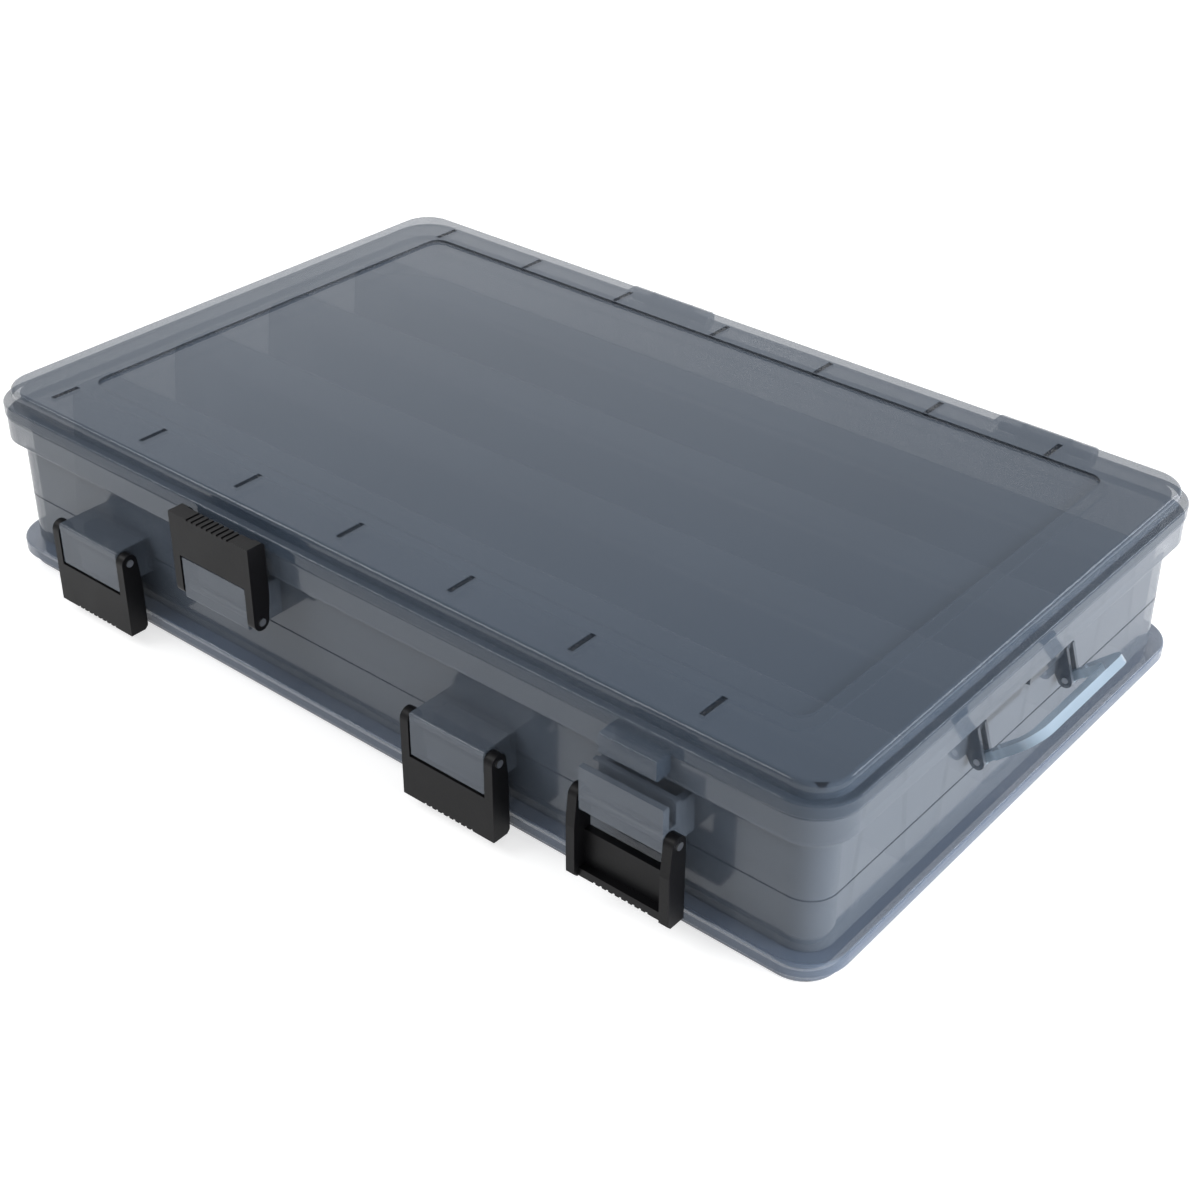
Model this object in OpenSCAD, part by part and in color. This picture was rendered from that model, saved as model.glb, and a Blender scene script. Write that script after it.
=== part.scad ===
// Double-sided fishing lure box: one shallow case with a wave-shaped inner wall,
// the same lid above and below it, four latch levers in front, hinges behind and a
// bail handle on the right end. Millimetres, +Z up, latches face -Y.

/* [Case] */
// Length of the case wall, left to right
case_l = 262; // [236:1:320]
// Depth of the case wall, front to back
case_d = 157.3; // [150:0.1:164]
// Height of the case between the two lids
case_h = 38; // [36:0.5:44]
// Thickness of the case wall
wall_t = 2; // [1.6:0.1:2.4]
// Outer radius of the wall's upright corners
corner_r = 7.5; // [6.5:0.5:12]
// Height of the square skirt under the top lid
skirt_h = 6.9; // [5:0.1:8]
// Gap between the skirt's face and the lid's edge
skirt_step = 0.4; // [0.2:0.1:0.8]
// Gap between case and lid along the seam
seam = 0.1; // [0.05:0.05:0.2]
// Depth of the moulding line round the wall
line_depth = 0.25; // [0.15:0.05:0.4]
// Height of the moulding line above the lower seam
line_up = 13.6; // [12:0.1:20]

/* [Lids] */
// How far a lid's flange stands outside the wall
flange_out = 4; // [3:0.1:5]
// Thickness of the flange
flange_t = 3.7; // [3:0.1:4.4]
// Height of the domed top above the flange
dome_h = 3.6; // [3:0.1:4.4]
// Step from the flange's edge in to the dome's side
dome_in = 2.3; // [1.8:0.1:2.6]
// Radius of the dome's upper edge
dome_r = 1.2; // [0.8:0.1:1.6]
// Rounding of the flange's edge
flange_r = 0.6; // [0.3:0.1:0.9]
// Thickness of the lid's skin
skin_t = 2; // [1.4:0.1:2.2]
// Depth of the sunk panel
panel_sink = 0.8; // [0.4:0.1:1.1]
// Length of the sunk panel
panel_l = 230; // [200:1:232]
// Depth of the sunk panel, front to back
panel_d = 130; // [120:1:131]
// How far the panel's centre lies behind the lid's centre
panel_back = 2; // [0:0.5:3]
// Corner radius of the sunk panel
panel_r = 4; // [2:0.5:8]
// Slots along each long side of the lid
slot_n = 7; // [3:1:7]
// Pitch of the slots
slot_pitch = 35.48; // [30:0.01:36]
// Length of a slot
slot_l = 8.05; // [6:0.05:8.5]
// Width of a slot
slot_w = 1.5; // [1:0.1:2]
// Distance of the slots' centres from the lid's centre line
slot_y = 71.3; // [71:0.1:72]
// How far the row of slots is moved to the left
slot_left = 8.66; // [0:0.01:10]

/* [Latches] */
// Distance of the inner latches from the middle
latch_in = 38.1; // [36:0.1:50]
// Distance of the outer latches from the middle
latch_out = 88.1; // [84:0.1:98]
// Width of a latch lever
lever_w = 28.2; // [24:0.1:30]
// Height of a lever's pivot above the opposite seam
pivot_up = 21; // [20.4:0.1:21.6]
// Distance of the lever pivots in front of the wall
pivot_out = 8.65; // [8.3:0.05:9.4]
// Length of a lever from its pivot to its outer end
lever_reach = 21.1; // [20.6:0.1:22]
// Radius of a lever's round end at the pivot
lever_tip_r = 2.3; // [2:0.1:2.6]
// Depth of a lever behind its pivot
lever_back = 3.1; // [2.6:0.1:3.2]
// Thickness of a lever's side arms
arm_t = 2.5; // [2:0.1:3]
// Thickness of a lever's front panel
lever_t = 2; // [1.6:0.1:2.1]
// Height of a lever's front panel
lever_panel_h = 11.6; // [9:0.1:11.8]
// Depth of the hooked end wall, front to back
hook_d = 4; // [3:0.1:4.4]
// Thickness of the hooked end wall
hook_t = 2.2; // [1.6:0.1:2.3]
// Grip grooves across a lever's end
grip_n = 9; // [5:1:11]
// Pitch of the grip grooves
grip_pitch = 1.8; // [1.2:0.1:2]
// Width of the catch on a lid
catch_w = 15.4; // [12:0.1:18]
// Gap between a catch's face and the lever's panel
catch_gap = 0.3; // [0.2:0.1:0.5]
// Gap between a catch's top and the lever's hook
hook_gap = 0.6; // [0.4:0.1:1]
// Height of a catch
catch_h = 5.3; // [4:0.1:6]
// Radius of the latch pins
latch_pin_r = 1; // [0.8:0.05:1.1]

/* [Latch brackets] */
// Gap between a bracket and the lever's arms
bracket_gap = 0.3; // [0.2:0.1:0.6]
// Height of a bracket's front plate above the pivot
plate_up = 8.9; // [7:0.1:9]
// Height of a bracket's knuckle below the pivot
plate_down = 2.7; // [2.2:0.1:3.2]
// Thickness of a bracket's front plate
plate_t = 2; // [1.4:0.1:2.1]
// Thickness of a bracket's rear rib
rib_t = 1.6; // [1.2:0.1:2]
// Thickness of a bracket's cheeks and floor
cheek_t = 2; // [1.2:0.1:2.4]

/* [Hinges] */
// Width of a hinge
hinge_w = 28; // [22:0.5:32]
// Radius of the hinge knuckles
knuckle_r = 3; // [2.4:0.1:3.2]
// Gap between the knuckles and the lid's edge
knuckle_gap = 1.05; // [0.8:0.05:1.5]
// Gap between neighbouring knuckles
knuckle_side = 0.4; // [0.2:0.1:0.8]
// Radius of the hinge pins
hinge_pin_r = 1.25; // [1:0.05:1.4]

/* [Handle] */
// Distance between the centres of the handle's arms
handle_w = 40; // [34:0.5:60]
// Length of the handle from its pivot
handle_l = 18.5; // [14:0.1:18.6]
// Width of the grip bar
grip_w = 4.8; // [3:0.1:5.5]
// Thickness of the handle
handle_t = 2.2; // [1.6:0.1:2.6]
// Width of the handle's arms
handle_arm = 3.6; // [2.6:0.1:4]
// Outer corner radius of the handle
handle_r = 6; // [4:0.5:8]
// Angle of the raised handle above level
handle_angle = 43; // [20:1:50]
// Distance of the handle's pivot from the wall
handle_out = 2.8; // [2.6:0.1:3.2]
// Height of the handle's pivot above the lower seam
handle_up = 19.2; // [18.9:0.1:22]
// Radius of the handle's pivot knuckle
handle_knuckle_r = 1.9; // [1.7:0.1:2.1]
// Radius of the handle pins
handle_pin_r = 0.8; // [0.6:0.05:0.9]
// Width of each handle bracket
handle_leg_w = 4; // [3.6:0.1:6]

/* [Divider] */
// Pitch of the waves
wave_pitch = 35; // [34.6:0.1:35.4]
// Thickness of the divider's sheet
sheet_t = 1.6; // [1.2:0.1:1.8]
// Sideways lean of each wave's side over its height
wave_lean = 4.1; // [2:0.1:5]
// Outer radius of the waves' bends
bend_r = 3; // [2.4:0.1:4]

/* [Hidden] */
$fn = 48;

smoke = [0.36, 0.40, 0.45, 0.75];
clear_smoke = [0.50, 0.56, 0.62, 0.7];
black = [0.10, 0.10, 0.11];
steel = [0.70, 0.71, 0.73];

run_fit = 0.05;   // radial play of a turning pin
seat_fit = 0.02;  // radial play of a pin in the piece that holds it
arc_n = 6;        // straight steps in each bend of the divider

lid_h = flange_t + dome_h;
box_h = case_h + 2 * lid_h;
lid_l = case_l + 2 * flange_out;
lid_d = case_d + 2 * flange_out;
rim_lo = lid_h + seam;
rim_hi = lid_h + case_h - seam;
skirt_out = flange_out - skirt_step;
lid_wall_in = flange_out - dome_in - skin_t - 0.3;  // inner face of the dome's side

// latch pivot of the upper latches; the lower ones are the same turned over
pivot_y = -case_d / 2 - pivot_out;
pivot_z = lid_h + pivot_up;
lever_in = lever_w / 2 - arm_t;
bracket_w = 2 * (lever_in - bracket_gap);
plate_y = -lever_tip_r + 0.3;
catch_face = pivot_y - lever_tip_r + lever_t + catch_gap;
catch_top = pivot_up + lever_reach - hook_t - hook_gap - case_h;
latch_pin_l = lever_w + 0.6;

hinge_y = lid_d / 2 + knuckle_gap + knuckle_r;
knuckle_l = (hinge_w - 4 * knuckle_side) / 4;

handle_x = case_l / 2 + handle_out;
handle_z = lid_h + handle_up;
fork_t = (handle_leg_w - 2) / 2;
tongue_w = handle_leg_w - 2 * fork_t - 0.2;

// the origin is the middle of the footprint, handle and open lever included
reach_right = handle_x + handle_l * cos(handle_angle) + handle_t / 2 * sin(handle_angle);
reach_front = -pivot_y + lever_back;
reach_back = hinge_y + knuckle_r;
mid_x = (reach_right - lid_l / 2) / 2;
mid_y = (reach_back - reach_front) / 2;

// moves a piece from the case's own middle to the middle of the footprint
module seat() {
    translate([-mid_x, -mid_y, 0]) children();
}

// turns a piece of the upper side over to the lower side
module turn_over() {
    translate([0, 0, box_h]) rotate([0, 180, 0]) children();
}

// sweeps a profile round a rounded oblong: profile x runs outward from the outline
module ring(l, d, r) {
    for (i = [0:3])
        rotate([0, 0, 90 * i])
            translate([(i % 2 == 0 ? l : d) / 2 - r, (i % 2 == 0 ? d : l) / 2 - r, 0])
                rotate_extrude(angle = 90) translate([r, 0]) children();
    for (s = [0, 1]) {
        mirror([s, 0, 0]) translate([l / 2, 0, 0]) rotate([90, 0, 0])
            linear_extrude(height = d - 2 * r, center = true) children();
        mirror([0, s, 0]) translate([0, d / 2, 0]) rotate([90, 0, 90])
            linear_extrude(height = l - 2 * r, center = true) children();
    }
}

module round_rect(l, d, r) {
    square([l - 2 * r, d], center = true);
    square([l, d - 2 * r], center = true);
    for (sx = [-1, 1]) for (sy = [-1, 1])
        translate([sx * (l / 2 - r), sy * (d / 2 - r)]) circle(r = r);
}

// oblong from the corner (x0, y0) to (x1, y1) with round corners on its right side
module soft_right(x0, y0, x1, y1, r) {
    translate([x0, y0]) square([x1 - r - x0, y1 - y0]);
    translate([x1 - r, y0 + r]) square([r, y1 - y0 - 2 * r]);
    for (y = [y0 + r, y1 - r]) translate([x1 - r, y]) circle(r = r);
}

// extrudes a profile drawn in y and z along x
module along_x(l) {
    rotate([90, 0, 90]) linear_extrude(height = l, center = true) children();
}

module rod_x(r, l) {
    rotate([0, 90, 0]) cylinder(r = r, h = l, center = true);
}

module rod_y(r, l) {
    rotate([90, 0, 0]) cylinder(r = r, h = l, center = true);
}

// ---------- case ----------

module wall_profile() {
    cove_r = skirt_out;
    difference() {
        union() {
            translate([-wall_t, rim_lo]) square([wall_t, rim_hi - rim_lo]);
            soft_right(-wall_t / 2, rim_hi - skirt_h, skirt_out, rim_hi, 0.5);
            difference() {
                translate([-wall_t / 2, rim_hi - skirt_h - cove_r])
                    square([wall_t / 2 + cove_r - 0.5, cove_r + 0.6]);
                translate([cove_r, rim_hi - skirt_h - cove_r]) circle(r = cove_r);
            }
        }
        translate([-line_depth, lid_h + line_up]) square([1, 0.5]);
    }
}

// bracket of one upper latch, drawn about its pivot
module latch_bracket() {
    wall_y = pivot_out;
    difference() {
        union() {
            along_x(bracket_w) {
                translate([plate_y, -plate_down + 0.6])
                    square([lever_back + rib_t / 2 - plate_y, plate_down + 2.1]);
                translate([plate_y + 0.6, -plate_down])
                    square([lever_back + rib_t / 2 - plate_y - 0.6, 1]);
                translate([plate_y + 0.6, -plate_down + 0.6]) circle(r = 0.6);
                translate([plate_y, 0]) square([plate_t, plate_up - 0.6]);
                translate([plate_y, 0]) square([plate_t - 0.6, plate_up]);
                translate([plate_y + plate_t - 0.6, plate_up - 0.6]) circle(r = 0.6);
                translate([lever_back - rib_t / 2, 0]) square([rib_t, plate_up - 0.5]);
            }
            for (s = [-1, 1]) translate([s * (bracket_w - cheek_t) / 2, 0, 0])
                along_x(cheek_t)
                    translate([lever_back, -plate_down])
                        square([wall_y - lever_back + wall_t / 2, plate_down + plate_up - 1.5]);
            along_x(bracket_w)
                translate([lever_back, -plate_down])
                    square([wall_y - lever_back + wall_t / 2, cheek_t]);
        }
        rod_x(latch_pin_r + seat_fit, bracket_w + 2);
    }
}

module hinge_leaf(x0, x1, y0) {
    translate([(x0 + x1) / 2, 0, 0]) {
        translate([0, hinge_y, 0]) rod_x(knuckle_r, x1 - x0);
        along_x(x1 - x0) translate([y0, seam]) square([hinge_y - y0, knuckle_r - seam]);
    }
}

// case half of an upper hinge, drawn with the seam at z = 0
module case_hinge() {
    difference() {
        mirror([0, 0, 1]) hinge_leaf(-knuckle_l, knuckle_l, case_d / 2 - wall_t / 2);
        translate([0, hinge_y, 0]) rod_x(hinge_pin_r + seat_fit, hinge_w + 2);
    }
}

// one side's bracket legs and the pad they grow from
module handle_bracket() {
    root_z = rim_hi - skirt_h - 3;
    leg_root = handle_z + 5.5;
    difference() {
        union() {
            for (s = [-1, 1]) translate([0, handle_w / 2 + s * (handle_leg_w - fork_t) / 2, 0])
                rotate([90, 0, 0]) linear_extrude(height = fork_t, center = true) {
                    translate([handle_x, handle_z]) circle(r = handle_knuckle_r);
                    polygon([[case_l / 2 - wall_t / 2, root_z], [case_l / 2 - wall_t / 2, leg_root - 3],
                        [handle_x - handle_knuckle_r * 0.86, handle_z - handle_knuckle_r * 0.5],
                        [handle_x + handle_knuckle_r * 0.86, handle_z + handle_knuckle_r * 0.5],
                        [case_l / 2 + 2, root_z]]);
                }
            // pad along the wall, under the skirt
            translate([case_l / 2 - wall_t / 2, 2, handle_z + 7])
                cube([wall_t / 2 + 1.6, handle_w / 2 + handle_leg_w / 2 - 2, root_z - handle_z - 6]);
        }
        translate([handle_x, handle_w / 2, handle_z])
            rod_y(handle_pin_r + seat_fit, handle_leg_w + 2);
    }
}

module case_body() {
    color(smoke) {
        ring(case_l, case_d, corner_r) wall_profile();
        for (x = [-latch_in, latch_out]) {
            translate([x, pivot_y, pivot_z]) latch_bracket();
            translate([x, 0, lid_h + case_h]) case_hinge();
            turn_over() {
                translate([x, pivot_y, pivot_z]) latch_bracket();
                translate([x, 0, lid_h + case_h]) case_hinge();
            }
        }
        for (s = [0, 1]) mirror([0, s, 0]) handle_bracket();
    }
}

// ---------- divider ----------

// points of an arc that rounds the corner b of the path a-b-c
function bend(a, b, c, r) =
    let (u = (a - b) / norm(a - b), v = (c - b) / norm(c - b),
         half = acos(u * v) / 2, d = r / tan(half),
         p = b + u * d, m = b + (u + v) / norm(u + v) * (r / sin(half)),
         q = b + v * d, s = p - m, e = q - m)
    [for (i = [0:arc_n]) let (t = i / arc_n, w = s * (1 - t) + e * t) m + w / norm(w) * r];

// rounds every inner corner of a path with the radii given
function rounded(path, radii) = [
    path[0],
    for (i = [1:len(path) - 2]) each bend(path[i - 1], path[i], path[i + 1], radii[i]),
    path[len(path) - 1]];

// upper and lower faces of the wave-shaped sheet, from the front wall to the back one
module wave_profile() {
    edge = case_d / 2 - wall_t;
    lo = rim_lo + 0.2;
    hi = rim_hi - 0.2;
    top_half = wave_pitch / 4 - sheet_t / 2 + wave_lean / 2;
    low_half = top_half - wave_lean;
    in_r = bend_r - sheet_t;
    upper = [[-edge, lo + sheet_t],
        for (k = [-2:1]) each [
            [k * wave_pitch + low_half, lo + sheet_t], [k * wave_pitch + top_half, hi],
            [(k + 1) * wave_pitch - top_half, hi], [(k + 1) * wave_pitch - low_half, lo + sheet_t]],
        [edge, lo + sheet_t]];
    lower = [[-edge, lo],
        for (k = [-2:1]) let (c = (k + 0.5) * wave_pitch) each [
            [c - top_half, lo], [c - low_half, hi - sheet_t],
            [c + low_half, hi - sheet_t], [c + top_half, lo]],
        [edge, lo]];
    up_r = [0, for (k = [-2:1]) each [in_r, bend_r, bend_r, in_r], 0];
    lo_r = [0, for (k = [-2:1]) each [bend_r, in_r, in_r, bend_r], 0];
    low_path = rounded(lower, lo_r);
    polygon(concat(rounded(upper, up_r), [for (i = [len(low_path) - 1:-1:0]) low_path[i]]));
}

module divider_web() {
    color(clear_smoke) intersection() {
        along_x(case_l - 2 * wall_t) wave_profile();
        linear_extrude(height = box_h)
            round_rect(case_l - 2 * wall_t, case_d - 2 * wall_t, corner_r - wall_t);
    }
}

// ---------- lids ----------

module lid_edge_profile() {
    in_edge = -corner_r + 3;
    soft_right(lid_wall_in, 0, flange_out, flange_t, flange_r);
    translate([in_edge, lid_h - skin_t]) square([flange_out - dome_in - dome_r - in_edge, skin_t]);
    translate([lid_wall_in, 0]) square([flange_out - dome_in - dome_r - lid_wall_in, lid_h]);
    translate([lid_wall_in, 0]) square([flange_out - dome_in - lid_wall_in, lid_h - dome_r]);
    translate([flange_out - dome_in - dome_r, lid_h - dome_r]) circle(r = dome_r);
}

// catch on the front of a lid, drawn about the middle of its width
module lid_catch() {
    foot = catch_top - catch_h;
    r = 0.5;
    difference() {
        along_x(catch_w) {
            translate([catch_face, foot + r]) square([-lid_d / 2 - catch_face, catch_h - 2 * r]);
            translate([catch_face + r, foot]) square([-lid_d / 2 - catch_face - r, catch_h]);
            translate([catch_face + r, foot + r]) circle(r = r);
            translate([catch_face + r, catch_top - r]) circle(r = r);
            translate([-lid_d / 2 - 0.5, 0.2]) square([1, catch_top - 0.2]);
        }
        // finger-side pocket that keeps the moulding thin
        translate([0, (catch_face - lid_d / 2) / 2 + 0.4, foot])
            cube([catch_w - 4, -lid_d / 2 - catch_face - 2.2, catch_h - 2], center = true);
    }
}

module lid_hinge() {
    difference() {
        for (s = [0, 1]) mirror([s, 0, 0])
            hinge_leaf(knuckle_l + knuckle_side, hinge_w / 2, lid_d / 2 - 1);
        translate([0, hinge_y, 0]) rod_x(hinge_pin_r + run_fit, hinge_w + 2);
    }
}

// a lid with its rim plane at z = 0
module lid() {
    in_edge = corner_r - 3;
    difference() {
        union() {
            ring(case_l, case_d, corner_r) lid_edge_profile();
            translate([0, 0, lid_h - skin_t]) linear_extrude(height = skin_t)
                round_rect(case_l - 2 * in_edge, case_d - 2 * in_edge, 3);
            translate([0, panel_back, lid_h - skin_t - panel_sink])
                linear_extrude(height = skin_t + panel_sink)
                    round_rect(panel_l + 2 * skin_t, panel_d + 2 * skin_t, panel_r + skin_t);
            for (x = [-latch_in, latch_out]) translate([x, 0, 0]) {
                lid_catch();
                lid_hinge();
            }
        }
        translate([0, panel_back, lid_h - panel_sink]) linear_extrude(height = 2)
            round_rect(panel_l, panel_d, panel_r);
        for (i = [0:slot_n - 1]) for (s = [-1, 1])
            translate([(i - (slot_n - 1) / 2) * slot_pitch - slot_left, s * slot_y, lid_h])
                cube([slot_w, slot_l, 2 * panel_sink + 0.2], center = true);
    }
}

module top_lid() {
    color(smoke) translate([0, 0, lid_h + case_h]) lid();
}

module bottom_lid() {
    color(smoke) turn_over() translate([0, 0, lid_h + case_h]) lid();
}

// ---------- latch levers ----------

// side view of a lever's arm: round at the pivot, deeper towards the hook
module arm_side() {
    circle(r = lever_tip_r);
    translate([-lever_tip_r, 0]) square([lever_tip_r, lever_reach]);
    polygon([[0, 0], [lever_tip_r, 0], [lever_back, lever_tip_r + 5], [lever_back, lever_reach - 1],
        [lever_back - 1, lever_reach], [0, lever_reach]]);
}

// closed lever about its pivot, hook upward
module lever() {
    panel_z = lever_reach - lever_panel_h;
    grip_w_all = (grip_n - 1) * grip_pitch;
    color(black) difference() {
        intersection() {
            along_x(lever_w) arm_side();
            translate([0, 0, -lever_tip_r]) linear_extrude(height = lever_reach + lever_tip_r)
                translate([0, lever_back - 5]) round_rect(lever_w, 2 * (lever_tip_r + lever_back - 2.7) + 5.4, 0.8);
        }
        // hollow behind the panel
        translate([-lever_in, -lever_tip_r + lever_t, -lever_tip_r - 1])
            cube([2 * lever_in, lever_tip_r + lever_back + 1, lever_reach - hook_t + lever_tip_r + 1]);
        // notch behind the hook
        translate([-lever_in, -lever_tip_r + hook_d, 0]) cube([2 * lever_in, 10, lever_reach + 1]);
        // window below the panel
        translate([-lever_in, -lever_tip_r - 1, -lever_tip_r - 1])
            cube([2 * lever_in, 10, panel_z + lever_tip_r + 1]);
        rod_x(latch_pin_r + run_fit, lever_w + 2);
        for (i = [0:grip_n - 1])
            translate([i * grip_pitch - grip_w_all / 2, 0, lever_reach])
                cube([0.7, 20, 0.8], center = true);
    }
}

module upper_lever(x, angle) {
    translate([x, pivot_y, pivot_z]) rotate([angle, 0, 0]) lever();
}

module latch_lever_1() { turn_over() upper_lever(latch_out, 0); }
module latch_lever_2() { upper_lever(-latch_in, 0); }
module latch_lever_3() { turn_over() upper_lever(-latch_in, 0); }
module latch_lever_4() { upper_lever(latch_out, 180); }

// ---------- handle ----------

// flat outline of the bail: x runs out from the pivot
module bail_outline() {
    wide = handle_w + handle_arm;
    r = handle_r;
    neck = 5;
    difference() {
        union() {
            for (s = [-1, 1]) translate([0, s * handle_w / 2 - tongue_w / 2])
                square([neck + 2, tongue_w]);
            translate([neck, -wide / 2]) square([handle_l - neck - r, wide]);
            translate([handle_l - r - 1, -wide / 2 + r]) square([r + 1, wide - 2 * r]);
            for (s = [-1, 1]) translate([handle_l - r, s * (wide / 2 - r)]) circle(r = r);
        }
        // finger window
        ir = 3;
        inner = wide - 2 * handle_arm;
        translate([-1, -inner / 2]) square([handle_l - grip_w - ir + 1, inner]);
        translate([0, -inner / 2 + ir]) square([handle_l - grip_w, inner - 2 * ir]);
        for (s = [-1, 1]) translate([handle_l - grip_w - ir, s * (inner / 2 - ir)]) circle(r = ir);
    }
}

module carry_handle() {
    color(clear_smoke) translate([handle_x, 0, handle_z]) rotate([0, -handle_angle, 0])
        difference() {
            union() {
                linear_extrude(height = handle_t, center = true) bail_outline();
                for (s = [-1, 1]) translate([0, s * handle_w / 2, 0])
                    rod_y(handle_knuckle_r - 0.1, tongue_w);
            }
            rod_y(handle_pin_r + run_fit, handle_w + 10);
        }
}

// ---------- pins ----------

module latch_pin(x) {
    color(steel) translate([x, pivot_y, pivot_z]) rod_x(latch_pin_r, latch_pin_l);
}

module latch_pin_1() { turn_over() latch_pin(latch_out); }
module latch_pin_2() { latch_pin(-latch_in); }
module latch_pin_3() { turn_over() latch_pin(-latch_in); }
module latch_pin_4() { latch_pin(latch_out); }

module hinge_pin(x) {
    color(steel) translate([x, hinge_y, lid_h + case_h]) rod_x(hinge_pin_r, hinge_w - 0.4);
}

module top_hinge_pin_1() { hinge_pin(-latch_in); }
module top_hinge_pin_2() { hinge_pin(latch_out); }
module bottom_hinge_pin_1() { turn_over() hinge_pin(latch_out); }
module bottom_hinge_pin_2() { turn_over() hinge_pin(-latch_in); }

module handle_pin(s) {
    color(steel) translate([handle_x, s * handle_w / 2, handle_z]) rod_y(handle_pin_r, handle_leg_w);
}

module handle_pin_1() { handle_pin(-1); }
module handle_pin_2() { handle_pin(1); }

seat() case_body();
seat() divider_web();
seat() top_lid();
seat() bottom_lid();
seat() latch_lever_1();
seat() latch_lever_2();
seat() latch_lever_3();
seat() latch_lever_4();
seat() carry_handle();
seat() latch_pin_1();
seat() latch_pin_2();
seat() latch_pin_3();
seat() latch_pin_4();
seat() top_hinge_pin_1();
seat() top_hinge_pin_2();
seat() bottom_hinge_pin_1();
seat() bottom_hinge_pin_2();
seat() handle_pin_1();
seat() handle_pin_2();
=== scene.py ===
import math
import bmesh
import bpy
from mathutils import Matrix, Vector


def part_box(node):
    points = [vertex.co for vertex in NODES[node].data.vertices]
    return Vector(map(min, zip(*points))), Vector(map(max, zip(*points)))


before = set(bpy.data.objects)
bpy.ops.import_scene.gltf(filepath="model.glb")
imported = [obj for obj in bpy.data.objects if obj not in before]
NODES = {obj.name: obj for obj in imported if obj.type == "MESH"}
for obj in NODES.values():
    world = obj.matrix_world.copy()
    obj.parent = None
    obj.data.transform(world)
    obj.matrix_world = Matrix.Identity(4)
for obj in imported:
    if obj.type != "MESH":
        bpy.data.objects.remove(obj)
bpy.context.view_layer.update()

WHITE = (1, 1, 1, 1)

# outer faces of the two lids, in metres: one at z = 0, the other at the box's full height
BOX_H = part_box("top_lid")[1][2]
LID_MIDDLE = {"X": (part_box("top_lid")[0][0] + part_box("top_lid")[1][0]) / 2, "Y": 0.00035}
LID_HALF = {"X": 0.130, "Y": 0.0785}  # from the middle to the end of the flat part
PANEL_SINK, SLOT_SINK = 0.0008, 0.0009

# moulded plastic: noise scales per metre, and how strongly each shows
CLOUD_SCALE, PEEL_SCALE = 17, 420
FLOW_SCALE = (6, 150, 150)
FLOW_ROUGHNESS, PEEL_HEIGHT = 0.09, 0.08
RELIEF, RELIEF_DEPTH = 0.04, 0.0002
PLASTIC_IOR = 1.5
# painted shade: a dark tint laid on the lids' sunk steps and slot floors
RECESS_PAINTED_SHADE = (10, 18, 30)

# see-through plastics: tint on screen, cloudiness, roughness, opacity, painted shade tint of
# sunk steps
PLASTICS = {
    "lid_smoke": ((72, 84, 99), 0.16, 0.04, 0.57, RECESS_PAINTED_SHADE),
    # the lid plastic again, with its tint and opacity changed to paint in the shade and light
    # the bottom lid gets under the box
    "lid_smoke_underside_painted_light": ((93, 106, 125), 0.16, 0.04, 0.72, RECESS_PAINTED_SHADE),
    "case_smoke": ((92, 101, 113), 0.14, 0.07, 0.68, None),
    "divider_smoke": ((108, 118, 130), 0.22, 0.16, 0.74, None),
    "handle_smoke": ((150, 168, 184), 0.12, 0.06, 0.62, None),
}
PLASTIC_OF = {
    "top_lid": "lid_smoke",
    "bottom_lid": "lid_smoke_underside_painted_light",
    "case_body": "case_smoke",
    "divider_web": "divider_smoke",
    "carry_handle": "handle_smoke",
}

# black levers and drawn steel pins: noise scales per metre and ranges of roughness
LEVER_TINT, LEVER_GLOSS = (15, 15, 17), 0.15
LEVER_GRAIN, LEVER_WEAR = 1500, 90
LEVER_GRAIN_RELIEF, LEVER_GRAIN_DEPTH = 0.16, 0.0001
LEVER_ROUGHNESS = (0.34, 0.50)
PIN_TINT = (190, 192, 196)
PIN_DRAWN = (40, 2600, 2600)
PIN_ROUGHNESS = (0.22, 0.42)

# studio: lamps by name, place, target, size, watts, and whether the gloss mirrors them
LAMPS = (
    ("key_right", (1.25, 0.15, 0.28), (0.05, 0, 0.02), (0.9, 0.4), 24, False),
    ("back_left", (-0.9, 0.8, 0.7), (0, 0, 0), (0.8, 0.6), 9, False),
    # the rounded front and right edges of the lid mirror these two
    ("front_edge", (-0.75, -0.70, 0.95), (0, 0, 0), (1.0, 0.4), 7, True),
    ("right_edge", (0.75, 1.00, 0.75), (0, 0, 0), (0.8, 0.4), 5, True),
)
ROOM_LIGHT = 0.55
FLOOR_REACH, FLOOR_TINT, FLOOR_ROUGHNESS, FLOOR_GLOW = 6, 0.62, 0.9, 0.66

# the gloss mirrors a backdrop that is brightest low down at the back left
GLOW_TOWARDS = (-0.6, 0.6, -0.5)
GLOW_RANGE = (0.37, 0.62)
GLOW_STRENGTH = (0.62, 1.6)


# ---------- camera ----------

def place_object(name, data):
    ob = bpy.data.objects.new(name, data)
    bpy.context.scene.collection.objects.link(ob)
    return ob


def make_camera():
    """The photograph's camera: turned to the right end, well above the lid."""
    azimuth, elevation, roll = math.radians(37.315), math.radians(30.908), math.radians(1.680)
    place = Vector((0.28051, -0.33324, 0.29067))
    back = Vector((math.sin(azimuth) * math.cos(elevation),
                   -math.cos(azimuth) * math.cos(elevation), math.sin(elevation)))
    right = Vector((0, 0, 1)).cross(back).normalized()
    up = back.cross(right)
    across = math.cos(roll) * right + math.sin(roll) * up
    upright = -math.sin(roll) * right + math.cos(roll) * up
    data = bpy.data.cameras.new("camera")
    data.sensor_width = 36
    data.lens = 58.61
    data.shift_x, data.shift_y = -0.06477, -0.06827
    data.clip_start, data.clip_end = 0.01, 20
    cam = place_object("camera", data)
    cam.matrix_world = Matrix((
        (across.x, upright.x, back.x, place.x),
        (across.y, upright.y, back.y, place.y),
        (across.z, upright.z, back.z, place.z),
        (0, 0, 0, 1)))
    bpy.context.scene.camera = cam


# ---------- node helpers ----------

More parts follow.
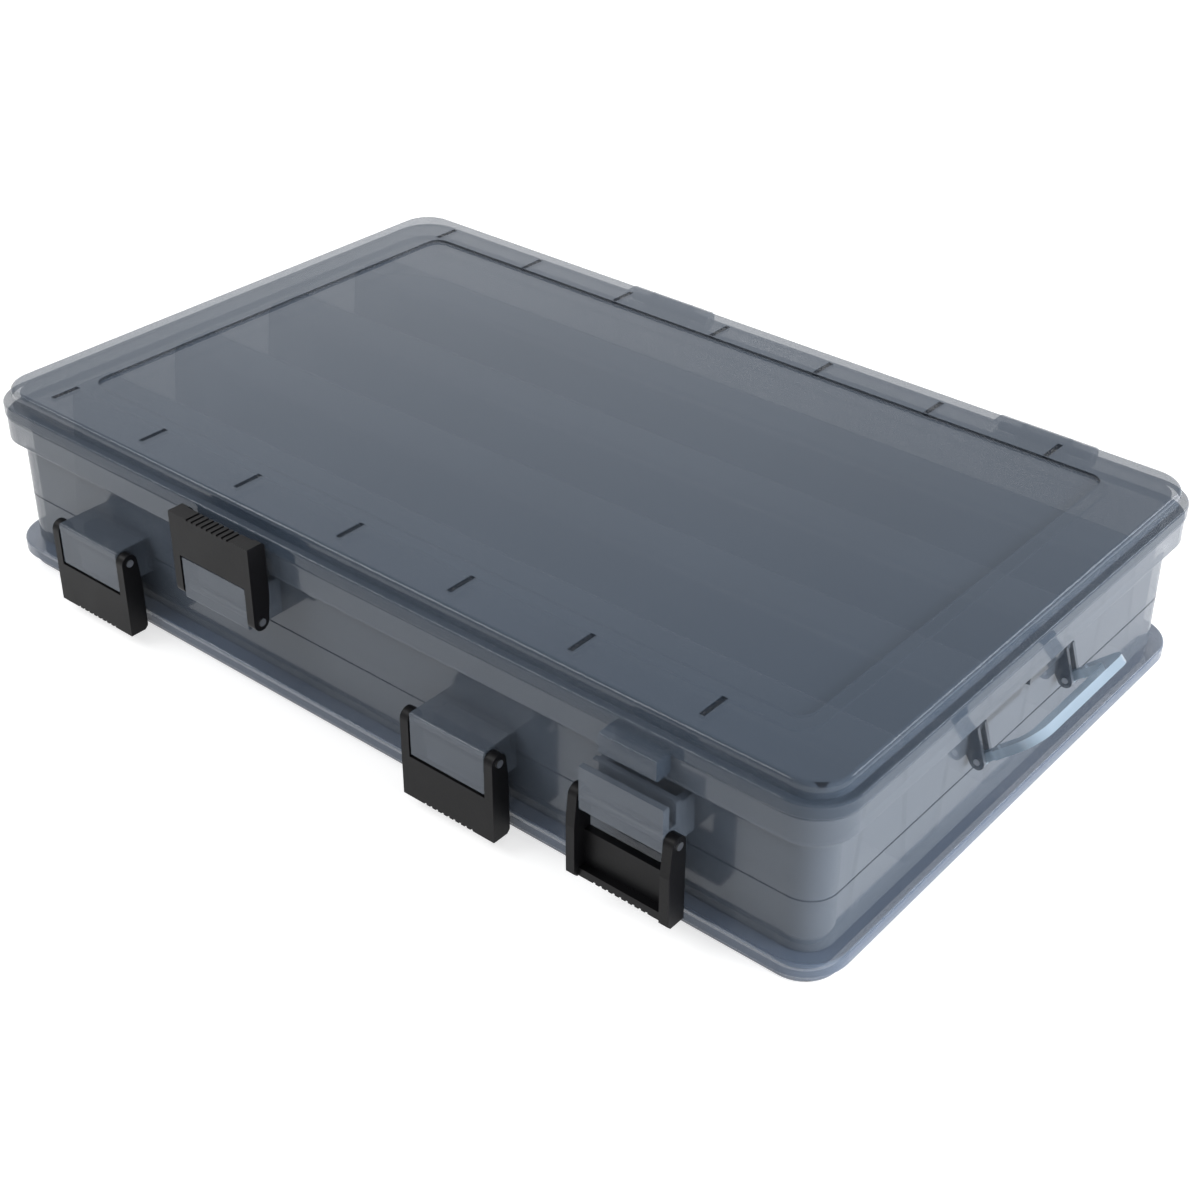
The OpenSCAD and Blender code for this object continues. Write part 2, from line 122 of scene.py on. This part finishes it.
def linear(r, g, b):
    """A colour given as it looks on a screen, 0 to 255, in the shader's own scale."""
    def one(v):
        v /= 255
        return v / 12.92 if v <= 0.04045 else ((v + 0.055) / 1.055) ** 2.4
    return (one(r), one(g), one(b), 1.0)


def add(tree, kind, inputs=None, **values):
    """A node with its properties, and with plain values or links on its inputs."""
    node = tree.nodes.new(kind)
    for key, value in values.items():
        setattr(node, key, value)
    for key, value in (inputs or {}).items():
        if isinstance(value, bpy.types.NodeSocket):
            tree.links.new(value, node.inputs[key])
        else:
            node.inputs[key].default_value = value
    return node


def math_node(tree, operation, a, b=0.0):
    return add(tree, "ShaderNodeMath", {0: a, 1: b}, operation=operation).outputs[0]


def object_place(tree):
    return add(tree, "ShaderNodeTexCoord").outputs["Object"]


def stretched(tree, vector, scale):
    return add(tree, "ShaderNodeMapping", {"Vector": vector, "Scale": scale}).outputs["Vector"]


def noise(tree, vector, scale, detail):
    return add(tree, "ShaderNodeTexNoise",
               {"Vector": vector, "Scale": scale, "Detail": detail}).outputs["Fac"]


def between(tree, value, limits):
    """A value of 0 to 1 spread between two limits."""
    return add(tree, "ShaderNodeMapRange",
               {"Value": value, "To Min": limits[0], "To Max": limits[1]}).outputs["Result"]


def new_material(name):
    mat = bpy.data.materials.new(name)
    mat.use_nodes = True
    tree = mat.node_tree
    tree.nodes.clear()
    out = tree.nodes.new("ShaderNodeOutputMaterial")
    bsdf = tree.nodes.new("ShaderNodeBsdfPrincipled")
    tree.links.new(bsdf.outputs["BSDF"], out.inputs["Surface"])
    return mat, tree, bsdf


# ---------- shared effects ----------

def moulded_group():
    """Moulded plastic: cloudy colour, flow marks along the length and a faint orange peel."""
    group = bpy.data.node_groups.new("moulded_plastic", "ShaderNodeTree")
    for name, kind in (("Tint", "NodeSocketColor"), ("Cloud", "NodeSocketFloat"),
                       ("Roughness", "NodeSocketFloat")):
        group.interface.new_socket(name, in_out="INPUT", socket_type=kind)
    for name, kind in (("Color", "NodeSocketColor"), ("Roughness", "NodeSocketFloat"),
                       ("Height", "NodeSocketFloat")):
        group.interface.new_socket(name, in_out="OUTPUT", socket_type=kind)
    given = group.nodes.new("NodeGroupInput").outputs
    result = group.nodes.new("NodeGroupOutput").inputs
    place = object_place(group)

    cloud = noise(group, place, CLOUD_SCALE, 3)
    flow = noise(group, stretched(group, place, FLOW_SCALE), 1, 2)
    peel = noise(group, place, PEEL_SCALE, 2)

    shade = math_node(group, "SUBTRACT", cloud, 0.5)
    shade = math_node(group, "MULTIPLY", shade, given["Cloud"])
    shade = math_node(group, "ADD", shade, 1.0)
    tint = add(group, "ShaderNodeVectorMath", {0: given["Tint"], "Scale": shade},
               operation="SCALE")
    group.links.new(tint.outputs["Vector"], result["Color"])

    marks = math_node(group, "MULTIPLY", flow, FLOW_ROUGHNESS)
    group.links.new(math_node(group, "ADD", marks, given["Roughness"]), result["Roughness"])
    ripple = math_node(group, "MULTIPLY", peel, PEEL_HEIGHT)
    group.links.new(math_node(group, "ADD", ripple, flow), result["Height"])
    return group


def recess_shade_mask_group():
    """1 on the small upright steps and slot floors sunk in a lid's outer face, else 0: where
    painted shade is laid.
    """
    group = bpy.data.node_groups.new("lid_recess_painted_shade", "ShaderNodeTree")
    group.interface.new_socket("Mask", in_out="OUTPUT", socket_type="NodeSocketFloat")
    result = group.nodes.new("NodeGroupOutput").inputs
    at = add(group, "ShaderNodeSeparateXYZ", {"Vector": object_place(group)}).outputs

    def away(axis, middle):
        return math_node(group, "ABSOLUTE", math_node(group, "SUBTRACT", at[axis], middle))

    def near(value, level, reach):
        return add(group, "ShaderNodeMath", {0: value, 1: level, 2: reach},
                   operation="COMPARE").outputs[0]

    # measured from half height, both lids' outer faces lie equally far out
    face = BOX_H / 2
    height = away("Z", face)
    step = near(height, face - 0.5 * PANEL_SINK, 0.44 * PANEL_SINK)
    slot_floor = near(height, face - SLOT_SINK, 0.06 * SLOT_SINK)
    sunk = math_node(group, "MAXIMUM", step, slot_floor)
    for axis, middle in LID_MIDDLE.items():
        inside = math_node(group, "LESS_THAN", away(axis, middle), LID_HALF[axis])
        sunk = math_node(group, "MULTIPLY", sunk, inside)
    group.links.new(sunk, result["Mask"])
    return group


MOULDED = moulded_group()
RECESS_SHADE_MASK = recess_shade_mask_group()


# ---------- finishes ----------

def plastic(name, tint, cloud, rough, alpha, painted_shade_tint):
    """See-through moulded plastic, with painted shade darkening a lid's sunk steps where a
    shade tint is given.
    """
    mat, tree, bsdf = new_material(name)
    surface = add(tree, "ShaderNodeGroup", node_tree=MOULDED)
    surface.inputs["Tint"].default_value = linear(*tint)
    surface.inputs["Cloud"].default_value = cloud
    surface.inputs["Roughness"].default_value = rough
    bump = add(tree, "ShaderNodeBump", {"Height": surface.outputs["Height"],
                                        "Strength": RELIEF, "Distance": RELIEF_DEPTH})
    colour = surface.outputs["Color"]
    # painted shade: the sunk steps and slot floors take the dark tint in place of the plastic's
    # colour
    if painted_shade_tint:
        shade_mask = add(tree, "ShaderNodeGroup", node_tree=RECESS_SHADE_MASK)
        mix = add(tree, "ShaderNodeMix", {"Factor": shade_mask.outputs["Mask"]}, data_type="RGBA")
        flat, sunk = [s for s in mix.inputs if s.type == "RGBA"]
        tree.links.new(colour, flat)
        sunk.default_value = linear(*painted_shade_tint)
        colour = next(s for s in mix.outputs if s.type == "RGBA")
    tree.links.new(colour, bsdf.inputs["Base Color"])
    tree.links.new(surface.outputs["Roughness"], bsdf.inputs["Roughness"])
    tree.links.new(bump.outputs["Normal"], bsdf.inputs["Normal"])
    bsdf.inputs["IOR"].default_value = PLASTIC_IOR
    bsdf.inputs["Alpha"].default_value = alpha
    return mat


def lever_black():
    """Opaque black plastic with a fine spark-eroded grain."""
    mat, tree, bsdf = new_material("lever_black")
    place = object_place(tree)
    grain = noise(tree, place, LEVER_GRAIN, 3)
    wear = noise(tree, place, LEVER_WEAR, 4)
    bump = add(tree, "ShaderNodeBump", {"Height": grain, "Strength": LEVER_GRAIN_RELIEF,
                                        "Distance": LEVER_GRAIN_DEPTH})
    bsdf.inputs["Base Color"].default_value = linear(*LEVER_TINT)
    bsdf.inputs["Specular IOR Level"].default_value = LEVER_GLOSS
    tree.links.new(between(tree, wear, LEVER_ROUGHNESS), bsdf.inputs["Roughness"])
    tree.links.new(bump.outputs["Normal"], bsdf.inputs["Normal"])
    return mat


def pin_steel():
    """Drawn wire: fine lines along the pin."""
    mat, tree, bsdf = new_material("pin_steel")
    lines = noise(tree, stretched(tree, object_place(tree), PIN_DRAWN), 1, 2)
    bsdf.inputs["Base Color"].default_value = linear(*PIN_TINT)
    bsdf.inputs["Metallic"].default_value = 1.0
    tree.links.new(between(tree, lines, PIN_ROUGHNESS), bsdf.inputs["Roughness"])
    return mat


def dress(node, mat):
    ob = NODES[node]
    if not ob.material_slots:
        ob.data.materials.append(mat)
    for slot in ob.material_slots:
        slot.material = mat


def dress_all():
    plastics = {name: plastic(name, *finish) for name, finish in PLASTICS.items()}
    black, steel = lever_black(), pin_steel()
    for node in NODES:
        if node in PLASTIC_OF:
            dress(node, plastics[PLASTIC_OF[node]])
        elif "lever" in node:
            dress(node, black)
        else:
            dress(node, steel)


# ---------- studio ----------

def seen_by_eye(tree):
    """1 for what the camera sees directly, mirrored or through something clear."""
    path = add(tree, "ShaderNodeLightPath").outputs
    seen = math_node(tree, "MAXIMUM", path["Is Camera Ray"], path["Is Glossy Ray"])
    return math_node(tree, "MAXIMUM", seen, path["Is Transmission Ray"])


def make_floor():
    """A pale floor that looks white and still keeps the object's shadow."""
    bm = bmesh.new()
    bmesh.ops.create_grid(bm, x_segments=1, y_segments=1, size=FLOOR_REACH)
    mesh = bpy.data.meshes.new("floor")
    bm.to_mesh(mesh)
    bm.free()
    ob = place_object("floor", mesh)
    mat, tree, bsdf = new_material("floor_white")
    bsdf.inputs["Base Color"].default_value = (FLOOR_TINT, FLOOR_TINT, FLOOR_TINT, 1)
    bsdf.inputs["Roughness"].default_value = FLOOR_ROUGHNESS
    bsdf.inputs["Specular IOR Level"].default_value = 0.0
    bsdf.inputs["Emission Color"].default_value = WHITE
    tree.links.new(math_node(tree, "MULTIPLY", seen_by_eye(tree), FLOOR_GLOW),
                   bsdf.inputs["Emission Strength"])
    ob.data.materials.append(mat)


def area_light(name, place, target, size, watts, mirrored):
    data = bpy.data.lights.new(name, "AREA")
    data.shape = "RECTANGLE"
    data.size, data.size_y = size
    data.energy = watts
    ob = place_object(name, data)
    ob.location = place
    ob.rotation_mode = "QUATERNION"
    ob.rotation_quaternion = (Vector(target) - Vector(place)).to_track_quat("-Z", "Y")
    ob.visible_glossy = mirrored


def make_world():
    """White to the eye, softly graded in the gloss, and dimmer as light on the object."""
    world = bpy.data.worlds.new("studio")
    bpy.context.scene.world = world
    world.use_nodes = True
    tree = world.node_tree
    tree.nodes.clear()
    out = tree.nodes.new("ShaderNodeOutputWorld")
    dim = add(tree, "ShaderNodeBackground", {"Color": WHITE, "Strength": ROOM_LIGHT})
    way = add(tree, "ShaderNodeTexCoord").outputs["Generated"]
    towards = add(tree, "ShaderNodeVectorMath", {0: way, 1: GLOW_TOWARDS},
                  operation="DOT_PRODUCT").outputs["Value"]
    glow = add(tree, "ShaderNodeMapRange", {
        "Value": towards, "From Min": GLOW_RANGE[0], "From Max": GLOW_RANGE[1],
        "To Min": GLOW_STRENGTH[0], "To Max": GLOW_STRENGTH[1]}).outputs["Result"]
    glossy = add(tree, "ShaderNodeLightPath").outputs["Is Glossy Ray"]
    strength = add(tree, "ShaderNodeMix", {0: glossy, 2: 1.0, 3: glow}, data_type="FLOAT")
    white = add(tree, "ShaderNodeBackground", {"Color": WHITE, "Strength": strength.outputs[0]})
    mix = add(tree, "ShaderNodeMixShader",
              {0: seen_by_eye(tree), 1: dim.outputs[0], 2: white.outputs[0]})
    tree.links.new(mix.outputs[0], out.inputs["Surface"])


make_camera()
dress_all()
make_floor()
make_world()
for lamp in LAMPS:
    area_light(*lamp)

bpy.context.scene.view_settings.view_transform = "Standard"
